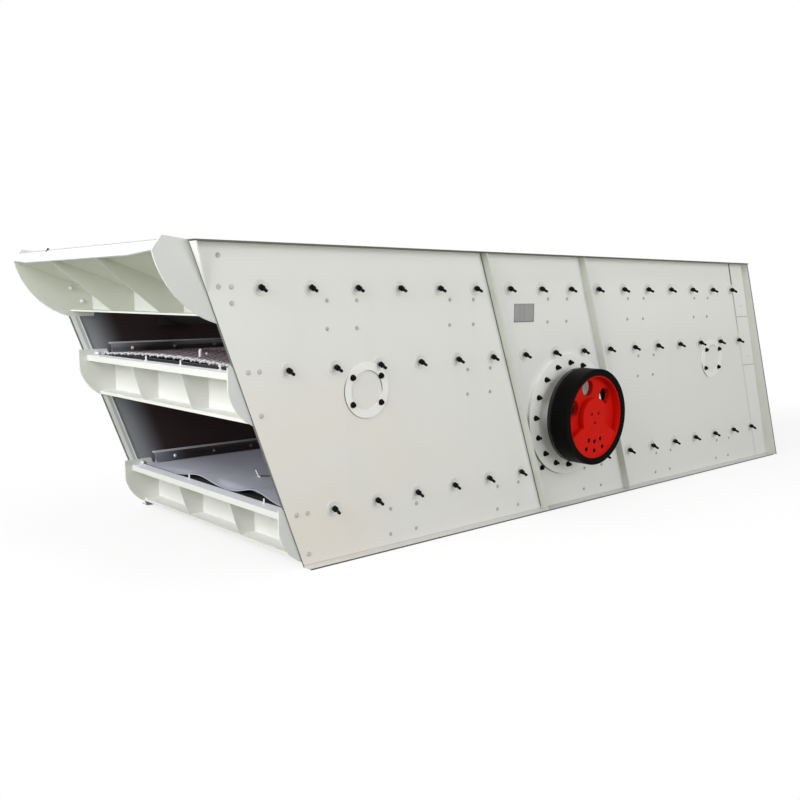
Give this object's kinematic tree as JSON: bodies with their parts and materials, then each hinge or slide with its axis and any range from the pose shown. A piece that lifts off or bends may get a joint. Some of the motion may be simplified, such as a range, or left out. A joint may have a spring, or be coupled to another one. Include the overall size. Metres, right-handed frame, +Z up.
{
  "type": "vibrating screen",
  "caption": "Inclined vibrating screen box with slanted side walls, stacked screen decks, a ribbed feed box and a through-shaft exciter with flywheels.",
  "frame": {"origin": "on the floor under the middle of the machine's overall box", "axes": "+X from the feed end to the discharge end, +Y to the far side, +Z up"},
  "size_m": [6.7905, 2.708, 1.957],
  "materials": {
    "wall_paint": "satin light grey paint",
    "lip_paint": "satin pale grey paint",
    "dark_paint": "dark grey paint in the shade of the decks",
    "wire_cloth": "woven wire",
    "fine_cloth": "fine woven wire",
    "rail_paint": "dark grey paint",
    "bright_steel": "turned steel",
    "rim_black": "satin black paint",
    "wheel_red": "gloss red paint"
  },
  "bodies": {
    "screen_box": {"near_feed_wall": "wall_paint", "near_exciter_wall": "wall_paint", "near_discharge_wall": "wall_paint", "far_feed_wall": "wall_paint", "far_exciter_wall": "wall_paint", "far_discharge_wall": "wall_paint", "discharge_strips": "wall_paint", "top_flanges": "wall_paint", "bottom_flanges": "wall_paint", "wall_ribs": "wall_paint", "discharge_end_flanges": "wall_paint", "feed_end_bars": "wall_paint", "spring_pads": "wall_paint", "feed_box_cheeks": "lip_paint", "feed_box_pan": "lip_paint", "feed_box_strip": "lip_paint", "feed_box_ribs": "lip_paint", "middle_lip_cheeks": "lip_paint", "middle_lip_channel": "lip_paint", "middle_lip_gussets": "lip_paint", "bottom_lip_cheeks": "lip_paint", "bottom_lip_channel": "lip_paint", "bottom_lip_gussets": "lip_paint", "discharge_lips": "lip_paint", "top_beams": "dark_paint", "middle_beams": "dark_paint", "bottom_beams": "dark_paint", "top_stringers": "dark_paint", "middle_stringers": "dark_paint", "bottom_stringers": "dark_paint", "top_cloth": "wire_cloth", "middle_cloth": "wire_cloth", "bottom_cloth": "fine_cloth", "top_rails": "rail_paint", "middle_rails": "rail_paint", "bottom_rails": "rail_paint", "exciter_tube": "dark_paint", "near_bearing": "wall_paint", "far_bearing": "wall_paint"},
    "rotor": {"shaft": "bright_steel", "near_rim": "rim_black", "near_web": "wheel_red", "far_rim": "rim_black", "far_web": "wheel_red"}
  },
  "joints": [
    {"name": "rotor_spin", "type": "hinge", "parent": "screen_box", "child": "rotor", "pos_m": [0.05212, 0, 0.722], "axis": [0, 1, 0], "continuous": true}
  ]
}
